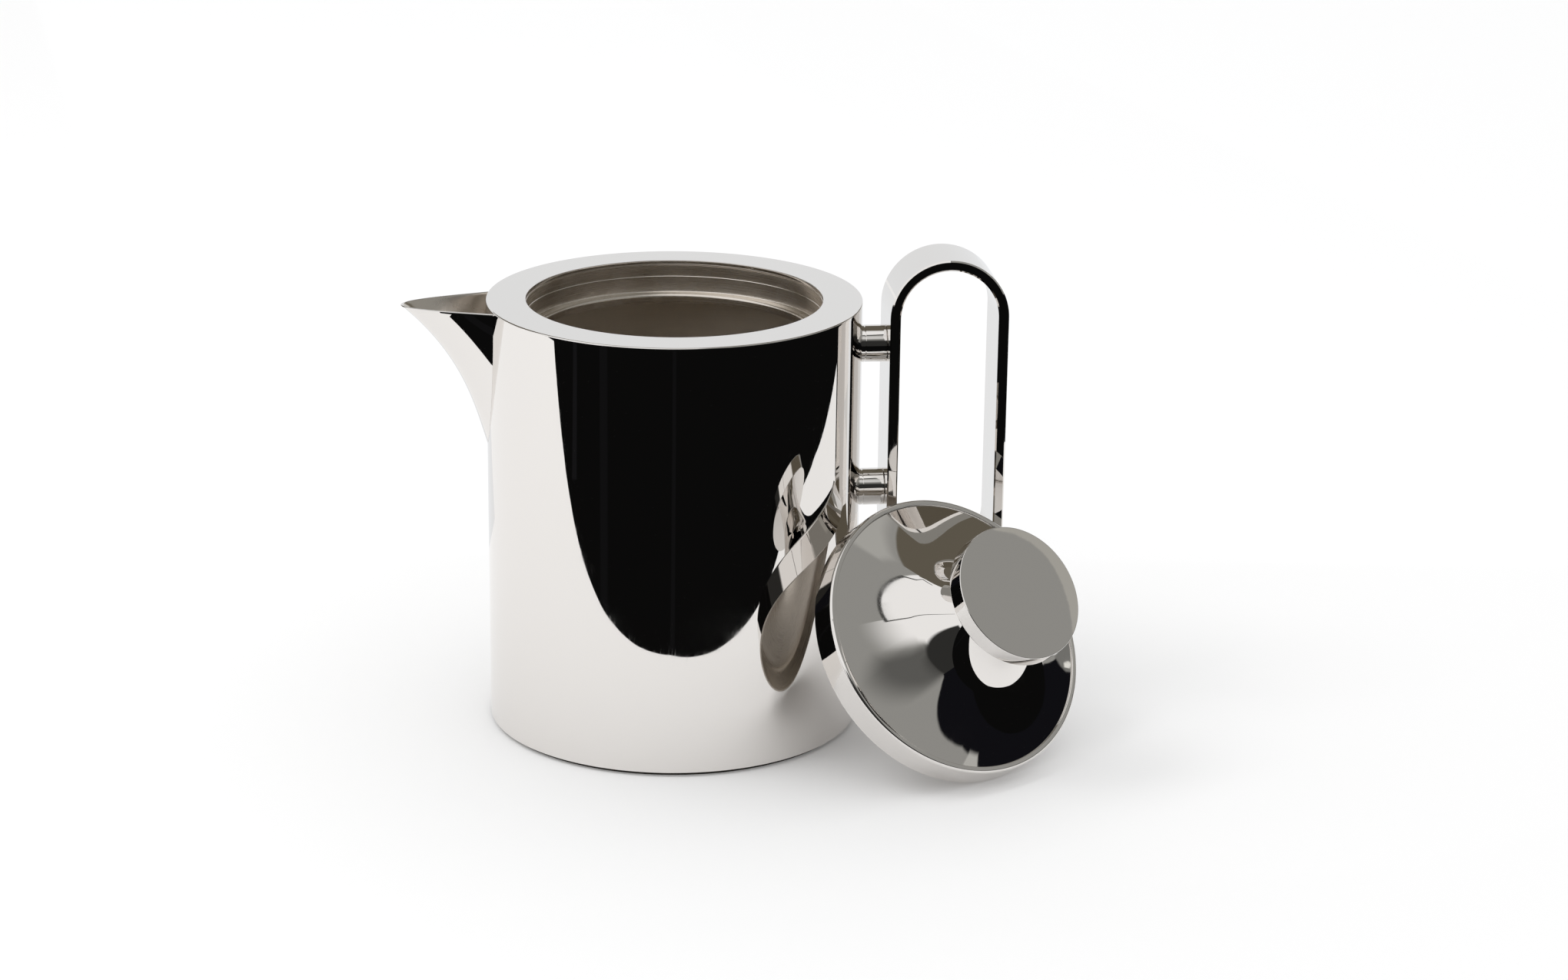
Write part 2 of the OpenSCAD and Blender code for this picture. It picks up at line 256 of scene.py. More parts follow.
def satin_steel(name, colour, base_rough):
    """Satin steel, brushed round the axis: fine lines from the turned UV's length along the profile."""
    mat, tree, shader = new_material(name, colour, base_rough)
    lines = noise(tree, "UV", TURNED, size=1, detail=4, rough=0.7)
    clouds = noise(tree, "Object", EVEN, size=90, detail=3, rough=0.6)
    rough = ramp(tree, lines, [(0.3, base_rough - 0.06), (0.7, base_rough + 0.12)])
    patch = ramp(tree, clouds, [(0.45, 0.0), (0.8, 0.08)])
    tree.links.new(math_node(tree, "ADD", rough, patch), shader.inputs["Roughness"])
    darker = tuple(c * 0.88 for c in colour)
    tint = ramp(tree, lines, [(0.25, darker), (0.75, colour)])
    tree.links.new(tint, shader.inputs["Base Color"])
    bump(tree, shader, lines, LINE_DEPTH)
    return mat


def base_steel(name, colour, base_rough):
    """Satin steel with painted shade on the low foot, under the wall's lower edge: a dark band that
    stands for the contact shadow in the foot joint.
    """
    mat = satin_steel(name, colour, base_rough)
    tree = mat.node_tree
    split = tree.nodes.new("ShaderNodeSeparateXYZ")
    tree.links.new(coords(tree, "Object", (1, 1, FOOT_STRETCH)), split.inputs["Vector"])
    foot = FOOT_H * MM * FOOT_STRETCH
    # Painted shade: dark up to the foot's height, then the steel's own colour
    stops = [(foot - FOOT_SHADE_FADE / 2, FOOT_SHADE), (foot + FOOT_SHADE_FADE / 2, colour)]
    tint = ramp(tree, split.outputs["Z"], stops)
    tree.links.new(tint, tree.nodes["Principled BSDF"].inputs["Base Color"])
    return mat


# ---- Pot ----
def ring_half(z, foot, half):
    """Half width of the spout's foot curve at a height."""
    share = min(1.0, max(0.0, (z - foot) / (SPOUT_RIM - foot)))
    return half * math.sqrt(max(0.0, 1 - (1 - share) ** 2))


def strainer_cutter():
    """One mesh of round pegs where the strainer's holes are."""
    radius, depth = STRAIN_D / 2 * MM, 8 * MM
    bm = bmesh.new()
    for row in range(STRAIN_ROWS):
        z = SPOUT_FOOT + SPOUT_H * STRAIN_START + row * STRAIN_PITCH * math.sin(math.radians(60))
        shift = (row % 2) / 2
        room = ring_half(z, SPOUT_FOOT, SPOUT_HALF) - SPOUT_T - STRAIN_D
        side = max(0, int(room // STRAIN_PITCH))
        for i in range(-side, side + 1 - (row % 2)):
            turn = Matrix.Rotation(math.pi + (i + shift) * STRAIN_PITCH / BODY_R, 4, "Z")
            place = turn @ Matrix.Translation((BODY_R * MM, 0, z * MM))
            place = place @ Matrix.Rotation(math.pi / 2, 4, "Y")
            bmesh.ops.create_cone(bm, cap_ends=True, segments=PEG_SEGMENTS, radius1=radius,
                                  radius2=radius, depth=depth, matrix=place)
    mesh = bpy.data.meshes.new("strainer_cutter")
    bm.to_mesh(mesh)
    bm.free()
    return mesh


def cut_holes(mesh, cutter_mesh):
    """The mesh with the cutter taken away, as a new mesh."""
    scene = bpy.context.scene
    target = bpy.data.objects.new("cut_target", mesh)
    cutter = bpy.data.objects.new("cut_tool", cutter_mesh)
    for obj in (target, cutter):
        scene.collection.objects.link(obj)
    boolean = target.modifiers.new("holes", "BOOLEAN")
    boolean.operation = "DIFFERENCE"
    boolean.solver = "EXACT"
    boolean.object = cutter
    bpy.context.view_layer.update()
    evaluated = target.evaluated_get(bpy.context.evaluated_depsgraph_get())
    result = bpy.data.meshes.new_from_object(evaluated)
    for obj in (target, cutter):
        bpy.data.objects.remove(obj)
    return result


def round_normals(mesh, radii):
    """Exact radial normals on the cylinders of the given radii; other faces keep their own.

    Upright faces that look inwards take the second material."""
    normals = []
    for poly in mesh.polygons:
        poly.use_smooth = True
        flat = math.hypot(poly.normal.x, poly.normal.y)
        for index in poly.loop_indices:
            at = mesh.vertices[mesh.loops[index].vertex_index].co
            reach = math.hypot(at.x, at.y)
            out = Vector((at.x, at.y, 0)).normalized()
            side = 1 if poly.normal.dot(out) > 0 else -1
            on = any(abs(reach - r * MM) < 2e-6 for r in radii) and flat > 0.999
            radial = on and abs(poly.normal.dot(out)) > 0.999
            normals.append(out * side if radial else poly.normal.copy())
        poly.material_index = 1 if flat > 0.5 and side < 0 else 0
    mesh.normals_split_custom_set(normals)
    return mesh


def make_wall(material, inside):
    """The drawn wall, with the strainer's holes."""
    inner = BODY_R - WALL_T
    profile = [(inner, FOOT_H), (BODY_R, FOOT_H), (BODY_R, RING_Z), (inner, RING_Z)]
    mesh = cut_holes(lathe("wall_blank", profile, BODY_SEGMENTS), strainer_cutter())
    mesh.name = "wall"
    obj = link("wall", round_normals(mesh, (BODY_R, inner)), "pot", "polished_steel", material, inside)
    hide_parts("body_wall")


def make_ring(material):
    """The flat ring round the mouth, rounded at its outer edge and a little at the mouth."""
    lip = 0.15
    edge = arc(BODY_R - RING_EDGE, BODY_H - RING_EDGE, RING_EDGE, 0, 90, 8)
    bore = arc(MOUTH_R + lip, BODY_H - lip, lip, 90, 180, 5)
    profile = [(MOUTH_R + lip, RING_Z), (BODY_R, RING_Z)] + edge
    profile += [(BODY_R - RING_EDGE - HOLD, BODY_H), (MOUTH_R + lip + HOLD, BODY_H)] + bore
    profile += [(MOUTH_R, RING_Z + lip)]
    obj = link("ring", lathe("ring", profile, BODY_SEGMENTS), "pot", "polished_steel", material)
    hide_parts("top_ring")


def make_collar(material):
    """The collar under the ring: a chamfer, a fine turned line, and the ledge for the lid."""
    outer = COLLAR_R + COLLAR_T
    chamfer, chamfer_h, chamfer_end = 0.25, 0.3, 0.4
    line, line_t = SEAT_Z + 5.0, 0.12
    corner, bend = 0.35, 0.8
    low = SEAT_Z - LEDGE_LIP
    profile = [(outer, SEAT_Z - COLLAR_T), (outer, RING_Z), (COLLAR_R + chamfer, RING_Z)]
    profile += [(COLLAR_R + chamfer, RING_Z - chamfer_h), (COLLAR_R, RING_Z - chamfer_end)]
    profile += [(COLLAR_R, line + 0.2), (COLLAR_R + line_t, line + 0.05)]
    profile += [(COLLAR_R + line_t, line - 0.15), (COLLAR_R, line - 0.3)]
    profile += [(COLLAR_R, SEAT_Z + corner)]
    profile += arc(COLLAR_R - corner, SEAT_Z + corner, corner, 0, -90, 4)
    profile += [(LEDGE_R + bend + HOLD, SEAT_Z)]
    profile += arc(LEDGE_R + bend, SEAT_Z - bend, bend, 90, 180, 8)
    profile += [(LEDGE_R, SEAT_Z - bend - HOLD), (LEDGE_R, low), (LEDGE_R + COLLAR_T, low)]
    profile += [(LEDGE_R + COLLAR_T, SEAT_Z - COLLAR_T)]
    obj = link("collar", lathe("collar", profile, LID_SEGMENTS), "pot", "satin_steel", material)
    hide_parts("mouth_collar")


# ---- Spout ----
def spout_row(inset, t):
    """One level slice of the spout's outer (inset 0) or inner face, from the near to the far wall."""
    off = 0.01
    foot = SPOUT_FOOT + inset / FOOT_LEAN
    keel = [(BODY_R, foot),
            (BODY_R + KEEL_OUT - inset, SPOUT_FOOT + KEEL_UP + inset),
            (BODY_R + THROAT_OUT - inset, SPOUT_RIM - THROAT_DOWN + inset),
            (SPOUT_REACH - inset, SPOUT_RIM)]
    reach, z = bezier(keel, t)
    half = ring_half(z, foot, SPOUT_HALF - inset)
    near = math.sqrt(BODY_R ** 2 - half ** 2) + off
    reach = max(reach, BODY_R + 2 * off)
    plan = [(near, half), ((near + reach) / 2, half * CHEEK), (reach, half * SPOUT_NOSE), (reach, 0.0)]
    side = [bezier(plan, k / SLICE_STEPS) for k in range(SLICE_STEPS + 1)]
    row = [(-x, y, z) for x, y in side]
    return row + [(x, -y, z) for x, y, z in row[-2::-1]]


def spout_rim(outer, inner):
    """The rounded lip between the top slices: (share of the way across, drop below the rim)."""
    rows = []
    for share, drop in ((0.08, 0.07), (0.22, 0.0), (0.78, 0.0), (0.92, 0.07)):
        rows.append([(p[0] + (q[0] - p[0]) * share, p[1] + (q[1] - p[1]) * share, SPOUT_RIM - drop)
                     for p, q in zip(outer, inner)])
    return rows


def make_spout(material, inside):
    """The folded beak: slices up the outer face, over the lip and down the inner face."""
    lip = 0.2
    # The slices crowd a little towards the foot, where the keel turns; the first lies just above it
    start, crowd = 0.1, 1.15
    shares = [((i + start) / (SLICES + start)) ** crowd for i in range(SLICES + 1)]
    outer = [spout_row(0, t) for t in shares]
    inner = [spout_row(SPOUT_T, t) for t in shares]
    rim = spout_rim(outer[-1], inner[-1])
    outer = [[(x, y, min(z, SPOUT_RIM - lip)) for x, y, z in row] for row in outer]
    inner[-1] = [(x, y, SPOUT_RIM - lip) for x, y, z in inner[-1]]
    rows = outer + rim + inner[::-1]
    verts = [(x * MM, y * MM, z * MM) for row in rows for x, y, z in row]
    width = 2 * SLICE_STEPS + 1
    faces = []
    for i in range(len(rows) - 1):
        for k in range(width - 1):
            a = i * width + k
            faces.append((a, a + 1, a + width + 1, a + width))
    mesh = bpy.data.meshes.new("spout")
    mesh.from_pydata(verts, [], faces)
    inner_from = (len(outer) + len(rim) - 1) * (width - 1)
    mesh.polygons.foreach_set("material_index", [int(i >= inner_from) for i in range(len(faces))])
    finish_mesh(mesh, 40)
    obj = link("beak", mesh, "pot", "polished_steel", material, inside)
    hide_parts("spout")


# ---- Handle ----
def strap_section():
    """The bar's cross section as (radius from the bend's centre, place across), with bevels."""
    bevel, half = STRAP_BEVEL, STRAP_W / 2
    inner = BEND_R - STRAP_T
    low_side = [(inner, -half + bevel), (inner + bevel, -half), (BEND_R - bevel, -half),
                (BEND_R, -half + bevel)]
    return low_side + [(r, -y) for r, y in low_side[::-1]]


def make_handle(material):
    """The closed loop: the upper bend, down the outer bar, the lower bend, and up at the posts."""
    section = strap_section()
    straight = [BEND_TOP - HOLD, BEND_TOP - STRAP_T, BEND_LOW + STRAP_T, BEND_LOW + HOLD]
    stations = []
    for start, level, way in ((0, BEND_TOP, straight), (math.pi, BEND_LOW, straight[::-1])):
        stations += [(start + math.pi * i / BEND_STEPS, level) for i in range(BEND_STEPS + 1)]
        stations += [(start + math.pi, z) for z in way]
    verts = [((LOOP_X + r * math.cos(a)) * MM, y * MM, (z + r * math.sin(a)) * MM)
             for a, z in stations for r, y in section]
    count, wide = len(stations), len(section)
    faces = []
    for i in range(count):
        here, there = i * wide, (i + 1) % count * wide
        for k in range(wide):
            m = (k + 1) % wide
            faces.append((here + k, here + m, there + m, there + k))
    mesh = bpy.data.meshes.new("handle")
    mesh.from_pydata(verts, [], faces)
    finish_mesh(mesh, 20)
    obj = link("handle", mesh, "pot", "polished_steel", material)
    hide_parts("handle_band")


def make_post(name, z, node_name, material):
    """A round post from the wall to the handle, with a fine groove near the wall."""
    end, radius = BODY_R + POST_LEN, POST_D / 2
    groove, floor = POST_GROOVE, POST_D / 2 - POST_GROOVE
    near = BODY_R + GROOVE_OUT
    far = near + groove
    # The first station follows the wall, so its place is worked out for each point round it
    stations = [(None, radius), (near - HOLD, radius), (near, radius), (near, floor)]
    stations += [(far, floor), (far, radius), (far + HOLD, radius)]
    stations += [(end - 0.25, radius), (end - 0.2, radius), (end - 0.01, radius - 0.15)]
    verts = []
    for i in range(POST_SEGMENTS):
        a = 2 * math.pi * i / POST_SEGMENTS
        for x, r in stations:
            y, up = r * math.cos(a), r * math.sin(a)
            if x is None:
                x = math.sqrt(BODY_R ** 2 - y * y)
            verts.append((x * MM, y * MM, (z + up) * MM))
    wide = len(stations)
    faces = []
    for i in range(POST_SEGMENTS):
        here, there = i * wide, (i + 1) % POST_SEGMENTS * wide
        faces += [(here + k, there + k, there + k + 1, here + k + 1) for k in range(wide - 1)]
    mesh = bpy.data.meshes.new(name)
    mesh.from_pydata(verts, [], faces)
    finish_mesh(mesh, 30)
    obj = link(name, mesh, "pot", "polished_steel", material)
    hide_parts(node_name)


# ---- Where the lid leans ----
# Its open edge rests on the table and on the near edge of the handle, and stands a little off the
# wall. In plan that edge is an ellipse: one half axis lies along the table, the other one towards
# the lid's facing.
FACING, LEAN = math.radians(LID_FACING), math.radians(LID_LEAN)
EDGE_ALONG = Vector((-math.sin(FACING), math.cos(FACING))) * LID_FULL_R
EDGE_TOWARDS = Vector((math.cos(FACING), math.sin(FACING))) * LID_FULL_R * math.sin(LEAN)


def lean_centre(bearing):
    """Centre of the open edge in plan when it is nearest to the wall at a bearing from the handle."""
    out = Vector((math.cos(bearing), math.sin(bearing)))
    a, b = EDGE_ALONG.dot(out), EDGE_TOWARDS.dot(out)
    return out * (BODY_FULL_R + LID_STAND_OFF) + (EDGE_ALONG * a + EDGE_TOWARDS * b) / math.hypot(a, b)


def lean_bearing():
    """The bearing at which the open edge just reaches the handle's near edge, by halving."""
    low, high = math.radians(-88), math.radians(-10)
    reach = math.hypot(EDGE_ALONG.y, EDGE_TOWARDS.y) + STRAP_W / 2 + REST_GAP
    for _ in range(30):
        mid = (low + high) / 2
        if lean_centre(mid).y + reach > 0:
            high = mid
        else:
            low = mid
    return low


LID_AT = (*lean_centre(lean_bearing()), LID_FULL_R * math.cos(LEAN) + REST_GAP)


def leaning(mesh):
    """Moves a mesh from the lid's own frame to the place where the lid leans."""
    turn = Matrix.Rotation(FACING, 4, "Z")
    tilt = Matrix.Rotation(math.pi / 2 - LEAN, 4, "Y")
    mesh.transform(Matrix.Translation(Vector(LID_AT) * MM) @ turn @ tilt)
    mesh.update()
    return mesh


# ---- Lid ----
def flare_centres():
    """Centres of the lid's two arcs, the wide one and the neck's, and the wide one's radius.

    The arcs meet at the middle slope, and the wide one starts at the rim's step."""
    low, mid = math.radians(RIM_SLOPE), math.radians(MID_SLOPE)
    meet_x = NECK_R + NECK_CURVE * (1 - math.sin(mid))
    wide = (FLARE_X - meet_x) / (math.sin(mid) - math.sin(low))
    wide_x = FLARE_X + wide * math.sin(low)
    wide_z = SKIRT_H - RIM_STEP + wide * math.cos(low)
    neck_z = wide_z - (wide - NECK_CURVE) * math.cos(mid)
    return (wide_x, wide_z), (NECK_R + NECK_CURVE, neck_z), wide


NECK_Z = flare_centres()[1][1] - FIT_GAP


def flare(depth, short):
    """Curve of the lid's sheet from the rim to the neck, at a depth in the sheet; it stops short
    of the neck's upper end by the height given."""
    wide_at, neck_at, wide = flare_centres()
    end = 180 - math.degrees(math.asin(short / (NECK_CURVE + depth)))
    curve = arc(*wide_at, wide + depth, -90 - RIM_SLOPE, -90 - MID_SLOPE, 40)
    return curve + arc(*neck_at, NECK_CURVE + depth, -90 - MID_SLOPE, -end, 64)[1:]


def make_lid(material, inside):
    """The lid: up the skirt, over the rolled rim, up the flare, and back down inside."""
    roll = RIM_W / 2
    step, hole = 0.25, 2.2
    outer = [(LID_R, 0.0), (LID_R, SKIRT_H - roll - HOLD)]
    outer += arc(LID_R - roll, SKIRT_H - roll, roll, 0, 90, 10)
    outer += [(FLARE_X + step + HOLD, SKIRT_H)]
    outer += arc(FLARE_X + step, SKIRT_H - step, step, 90, 180, 4)
    outer += flare(0.0, 0.0)
    outer += [(NECK_R, NECK_Z), (hole, NECK_Z), (hole, NECK_Z - LID_T)]
    inner = flare(LID_T, LID_T + FIT_GAP)[::-1]
    inner += [(LID_R - LID_T, SKIRT_H - RIM_STEP - LID_T), (LID_R - LID_T, 0.0)]
    mesh = leaning(lathe("lid", outer + inner, LID_SEGMENTS, second_from=len(outer) - 1))
    obj = link("lid", mesh, "lid", "polished_steel", material, inside)
    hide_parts("lid_cover")


def make_knob(material):
    """The disc knob, with bevels and a blind hole for the screw."""
    hole, hole_top = 2.05, KNOB_T - 1.6
    bevel, flat = KNOB_BEVEL, KNOB_R - KNOB_BEVEL
    profile = [(hole, 0.0), (flat - HOLD, 0.0)] + arc(flat, bevel, bevel, -90, 0, 5)
    profile += [(KNOB_R, bevel + HOLD), (KNOB_R, KNOB_T - bevel - HOLD)]
    profile += arc(flat, KNOB_T - bevel, bevel, 0, 90, 5) + [(flat - HOLD, KNOB_T)]
    profile += [(0.0, KNOB_T), (0.0, hole_top), (hole, hole_top)]
    mesh = lathe("knob", profile, LID_SEGMENTS)
    mesh.transform(Matrix.Translation((0, 0, NECK_Z * MM)))
    obj = link("knob", leaning(mesh), "lid", "polished_steel", material)
    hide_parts("knob_disc")


def dress_cad(names, material):
    """Gives CAD nodes that stay a better material."""
    for name in names:
        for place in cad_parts[name].material_slots:
            place.material = material


# ---- Camera ----
# Solved from the circles of the body, the mouth and the lid. The angles are in degrees: from the
# Y axis about Z, below the horizon, and about the line of sight.
CAMERA_AT = (-83.6565, -1017.4458, 398.9796)
CAMERA_YAW, CAMERA_TILT, CAMERA_ROLL = -6.5, 17.9478, 0.7255
CAMERA_LENS, SENSOR = 84.482, 36.0


def make_camera():
    """The photograph's camera."""
    data = bpy.data.cameras.new("view")
    data.sensor_fit = "HORIZONTAL"
    data.sensor_width = SENSOR
    data.lens = CAMERA_LENS
    data.clip_start = 0.01
    data.clip_end = 50
    camera = bpy.data.objects.new("view", data)
    bpy.context.scene.collection.objects.link(camera)
    yaw = Matrix.Rotation(math.radians(CAMERA_YAW), 4, "Z")
    tilt = Matrix.Rotation(math.radians(90 - CAMERA_TILT), 4, "X")
    roll = Matrix.Rotation(math.radians(CAMERA_ROLL), 4, "Z")
    camera.matrix_world = Matrix.Translation(Vector(CAMERA_AT) * MM) @ yaw @ tilt @ roll
    bpy.context.scene.camera = camera


# ---- Studio ----
TABLE_HALF = 6.0
TABLE_WHITE, TABLE_ROUGH, TABLE_SHINE = 0.86, 0.9, 0.1
# Glow of the table, as the camera and the mirror images see it
FLOOR_LIFT = 0.07
KEY_AT, KEY_AIM = (-0.9, -0.2, 1.3), (0, 0, 0.05)
KEY_SIZE, KEY_POWER = 0.7, 4.0


def plane(name, corners, material):
    """A flat face of the studio from its corners in metres."""
    mesh = bpy.data.meshes.new(name)
    mesh.from_pydata([tuple(c) for c in corners], [], [tuple(range(len(corners)))])
    obj = bpy.data.objects.new(name, mesh)
    bpy.context.scene.collection.objects.link(obj)
    obj.data.materials.append(material)
    return obj


def floor_material():
    """Matt white table: a little glow lifts it to the backdrop's white, and it keeps the shadow."""
    white = (TABLE_WHITE, TABLE_WHITE, TABLE_WHITE)
    mat, tree, shader = new_material("table_white", white, TABLE_ROUGH, metallic=0.0)
    shader.inputs["Specular IOR Level"].default_value = TABLE_SHINE
    path = tree.nodes.new("ShaderNodeLightPath")
    seen = math_node(tree, "MAXIMUM", path.outputs["Is Camera Ray"], path.outputs["Is Glossy Ray"])
    seen = math_node(tree, "MAXIMUM", seen, path.outputs["Is Transmission Ray"])
    shader.inputs["Emission Color"].default_value = (1, 1, 1, 1)
    tree.links.new(math_node(tree, "MULTIPLY", seen, FLOOR_LIFT), shader.inputs["Emission Strength"])
    return mat


def make_studio():
    """The table, a white room that stands for the soft boxes, and the soft lamp on the left."""
    h = TABLE_HALF
    plane("table", [(-h, -h, 0), (h, -h, 0), (h, h, 0), (-h, h, 0)], floor_material())
    world = bpy.data.worlds.new("studio")
    bpy.context.scene.world = world
    world.use_nodes = True
    sky = world.node_tree.nodes["Background"]
    sky.inputs["Color"].default_value = (1, 1, 1, 1)
    sky.inputs["Strength"].default_value = 1.0
    lamp = bpy.data.lights.new("soft_key", "AREA")
    lamp.shape = "DISK"
    lamp.size = KEY_SIZE
    lamp.energy = KEY_POWER
    key = bpy.data.objects.new("soft_key", lamp)
    bpy.context.scene.collection.objects.link(key)
    key.location = KEY_AT
    key.rotation_euler = (Vector(KEY_AT) - Vector(KEY_AIM)).to_track_quat("Z", "Y").to_euler()
    key.visible_glossy = False


# ---- Reflection cards ----
# Their outlines are laid out as the camera sees the room: x to its right and y away from it. Those
# on the floor are in mm. The others are in degrees from the zenith, on a dome over this place, and
# a card at a smaller distance (in metres) lies in front.
DOME_AT = (85.0, -62.0, 45.0)
# Each edge of a card is halved this many times, so that the card follows the dome
DOME_HALVINGS = 4


def glow(name, colour):
    """A plain emission material for a reflection card."""
    mat = bpy.data.materials.new(name)
    mat.use_nodes = True
    tree = mat.node_tree
    tree.nodes.clear()
    lamp = tree.nodes.new("ShaderNodeEmission")
    lamp.inputs["Color"].default_value = (*colour, 1)
    lamp.inputs["Strength"].default_value = 1.0
    out = tree.nodes.new("ShaderNodeOutputMaterial")
    tree.links.new(lamp.outputs["Emission"], out.inputs["Surface"])
    return mat


def soft_glow(name, colour):
    """Emission that fades out where the card's edge value falls to nothing."""
    mat = glow(name, colour)
    tree = mat.node_tree
    lamp, out = tree.nodes["Emission"], tree.nodes["Material Output"]
    edge = tree.nodes.new("ShaderNodeUVMap")
    edge.uv_map = "edge"
    across = tree.nodes.new("ShaderNodeSeparateXYZ")
    tree.links.new(edge.outputs["UV"], across.inputs["Vector"])
    fade = tree.nodes.new("ShaderNodeMapRange")
    fade.interpolation_type = "SMOOTHSTEP"
    tree.links.new(across.outputs["X"], fade.inputs["Value"])
    clear = tree.nodes.new("ShaderNodeBsdfTransparent")
    mix = tree.nodes.new("ShaderNodeMixShader")
    tree.links.new(fade.outputs["Result"], mix.inputs["Fac"])
    tree.links.new(clear.outputs["BSDF"], mix.inputs[1])
    tree.links.new(lamp.outputs["Emission"], mix.inputs[2])
    tree.links.new(mix.outputs["Shader"], out.inputs["Surface"])
    return mat


def only_in_reflections(obj):
    """Leaves a card to glossy rays alone, so that it lights nothing and casts nothing."""
    obj.visible_camera = False
    obj.visible_diffuse = False
    obj.visible_shadow = False
    obj.visible_transmission = False
    obj.visible_volume_scatter = False


def turned(x, y, z):
    """From the camera's own left-right and depth to the frame."""
    yaw = math.radians(CAMERA_YAW)
    return Vector((x * math.cos(yaw) - y * math.sin(yaw), x * math.sin(yaw) + y * math.cos(yaw), z))


def floor_card(name, outline, colour, height):
    """A card that lies just over the table, at a height in mm."""
    only_in_reflections(plane(name, [turned(x, y, height) * MM for x, y in outline], glow(name, colour)))


def moved_outline(outline, reach):
    """The outline with every corner moved outwards by reach, or inwards where it is negative."""
    area = sum(a[0] * b[1] - b[0] * a[1] for a, b in zip(outline, outline[1:] + outline[:1]))
    side = 1 if area > 0 else -1
    moved = []
    for before, here, after in zip(outline[-1:] + outline[:-1], outline, outline[1:] + outline[:1]):
        way = Vector((here[0] - before[0], here[1] - before[1])).normalized()
        way += Vector((after[0] - here[0], after[1] - here[1])).normalized()
        way.normalize()
        moved.append((here[0] + side * way.y * reach, here[1] - side * way.x * reach))
    return moved


def edged_face(outline, soft):
    """A flat face in its own units, whose edge value falls from 1 to 0 over the width soft."""
    bm = bmesh.new()
    edge = bm.loops.layers.uv.new("edge")
    inner = [bm.verts.new((x, y, 0)) for x, y in moved_outline(outline, -soft / 2)]
    outer = [bm.verts.new((x, y, 0)) for x, y in moved_outline(outline, soft / 2)]
    bm.faces.new(inner)
    for i in range(len(inner)):
        j = (i + 1) % len(inner)
        bm.faces.new((inner[i], inner[j], outer[j], outer[i]))
    solid = set(inner)
    for face in bm.faces:
        for loop in face.loops:
            loop[edge].uv = (1.0 if loop.vert in solid else 0.0, 0.5)
    return bm


def on_dome(x, y, distance):
    """The place in metres of a direction, x and y degrees from the zenith."""
    lean = math.radians(math.hypot(x, y))
    bearing = math.atan2(x, y)
    flat = distance * math.sin(lean)
    place = turned(flat * math.sin(bearing), flat * math.cos(bearing), distance * math.cos(lean))
    return place + Vector(DOME_AT) * MM


def sky_card(name, outline, colour, distance, soft):
    """A card on the dome, whose edge fades out over the angle given as soft."""
    bm = edged_face(outline, soft)
    bmesh.ops.triangulate(bm, faces=bm.faces)
    for _ in range(DOME_HALVINGS):
        bmesh.ops.subdivide_edges(bm, edges=bm.edges, cuts=1, use_grid_fill=True)
    for vert in bm.verts:
        vert.co = on_dome(vert.co.x, vert.co.y, distance)
    mesh = bpy.data.meshes.new(name)
    bm.to_mesh(mesh)
    bm.free()
    mesh.materials.append(soft_glow(name, colour))
    obj = bpy.data.objects.new(name, mesh)
    bpy.context.scene.collection.objects.link(obj)
    only_in_reflections(obj)


def grey(level):
    """The room's warm grey at a brightness."""
    return (level, level, level * 0.955)


def make_floor_cards():
    """The dark floor in front and on the right, the pale one behind, and faint streaks."""
    black, streak = (0.004, 0.004, 0.004), (0.0065, 0.0065, 0.007)
    pale, bright_streak = (0.88, 0.895, 0.91), (0.009, 0.009, 0.01)
    floor_card("front_dark",
               [(-1200, -150), (0, -150), (100, -133), (205, -110), (285, -55), (320, 0), (350, 70),
                (385, 150), (470, 350), (900, 900), (3000, 900), (3000, -3000), (-1200, -3000)],
               black, 1.0)
    floor_card("back_floor",
               [(-160, 140), (300, 140), (420, 350), (820, 900), (820, 5000), (-1400, 5000)],
               pale, 0.8)
    floor_card("front_streak", [(-262, -166), (-254, -180), (-640, -420), (-664, -400)],
               bright_streak, 1.5)
    floor_card("front_band", [(-117, -152), (-99, -152), (-600, -770), (-720, -775)], streak, 1.5)
    floor_card("front_line", [(0, -152), (6, -152), (30, -600), (10, -600)], streak, 1.5)


def make_small_cards():
    """Two pale spots and a lamp on the right, low over the floor."""
    sky_card("far_spot", [(74.2, 38.6), (75.6, 38.2), (76.2, 39.6), (75.2, 41), (74.2, 40.4)],
             grey(0.9), 1.8, 0.5)
    sky_card("far_patch", [(66, 48), (70, 36), (75, 35), (77, 38), (76.5, 41), (75, 45)],
             grey(0.2), 1.82, 0.8)
    sky_card("low_lamp", [(71.5, -40), (74.5, -40), (77.6, -36), (75.8, -34)], grey(0.5), 1.84, 1.4)


def make_dark_cards():
    """The black room on the right and the brown dark behind the pot."""
    sky_card("black_right",
             [(38, -66), (45, -62.5), (60, -52), (66, -48), (71, -44), (75, -38.5), (77, -33),
              (78, -26), (79, -14), (80, 0), (79, 14), (76, 27), (73, 36), (74, 44.5), (80, 43),
              (85, 39), (90, 33), (97, 24), (104, 10), (104, -60), (60, -96), (30, -96)],
             (0.006, 0.006, 0.008), 1.9, 0.8)
    sky_card("dark_behind",
             [(-22, 22), (-60, 10), (-72, 22), (-50, 56), (-26, 62), (20, 60), (36, 49), (50, 47),
              (60, 34), (46, 32), (34, 30), (24, 24), (18, 17), (12, 9.5), (8, 9), (0, 13), (-10, 17)],
             (0.13, 0.115, 0.088), 2.0, 0.6)


def make_box_cards():
    """The thin dark frame of the soft box overhead."""
    tone = grey(0.07)
    sky_card("frame_low", [(-60, -28.4), (9.6, -28.2), (9.6, -28.9), (-60, -29.1)], tone, 2.05, 0.4)
    sky_card("frame_side", [(8.9, -28.6), (9.6, -28.6), (9.6, 3), (8.9, 2.6)], tone, 2.06, 0.4)
    sky_card("frame_top", [(9.6, 2.6), (3.4, 10.4), (-10, 14.4), (-10, 13.7), (3, 9.7), (8.9, 2.4)],
             tone, 2.07, 0.4)


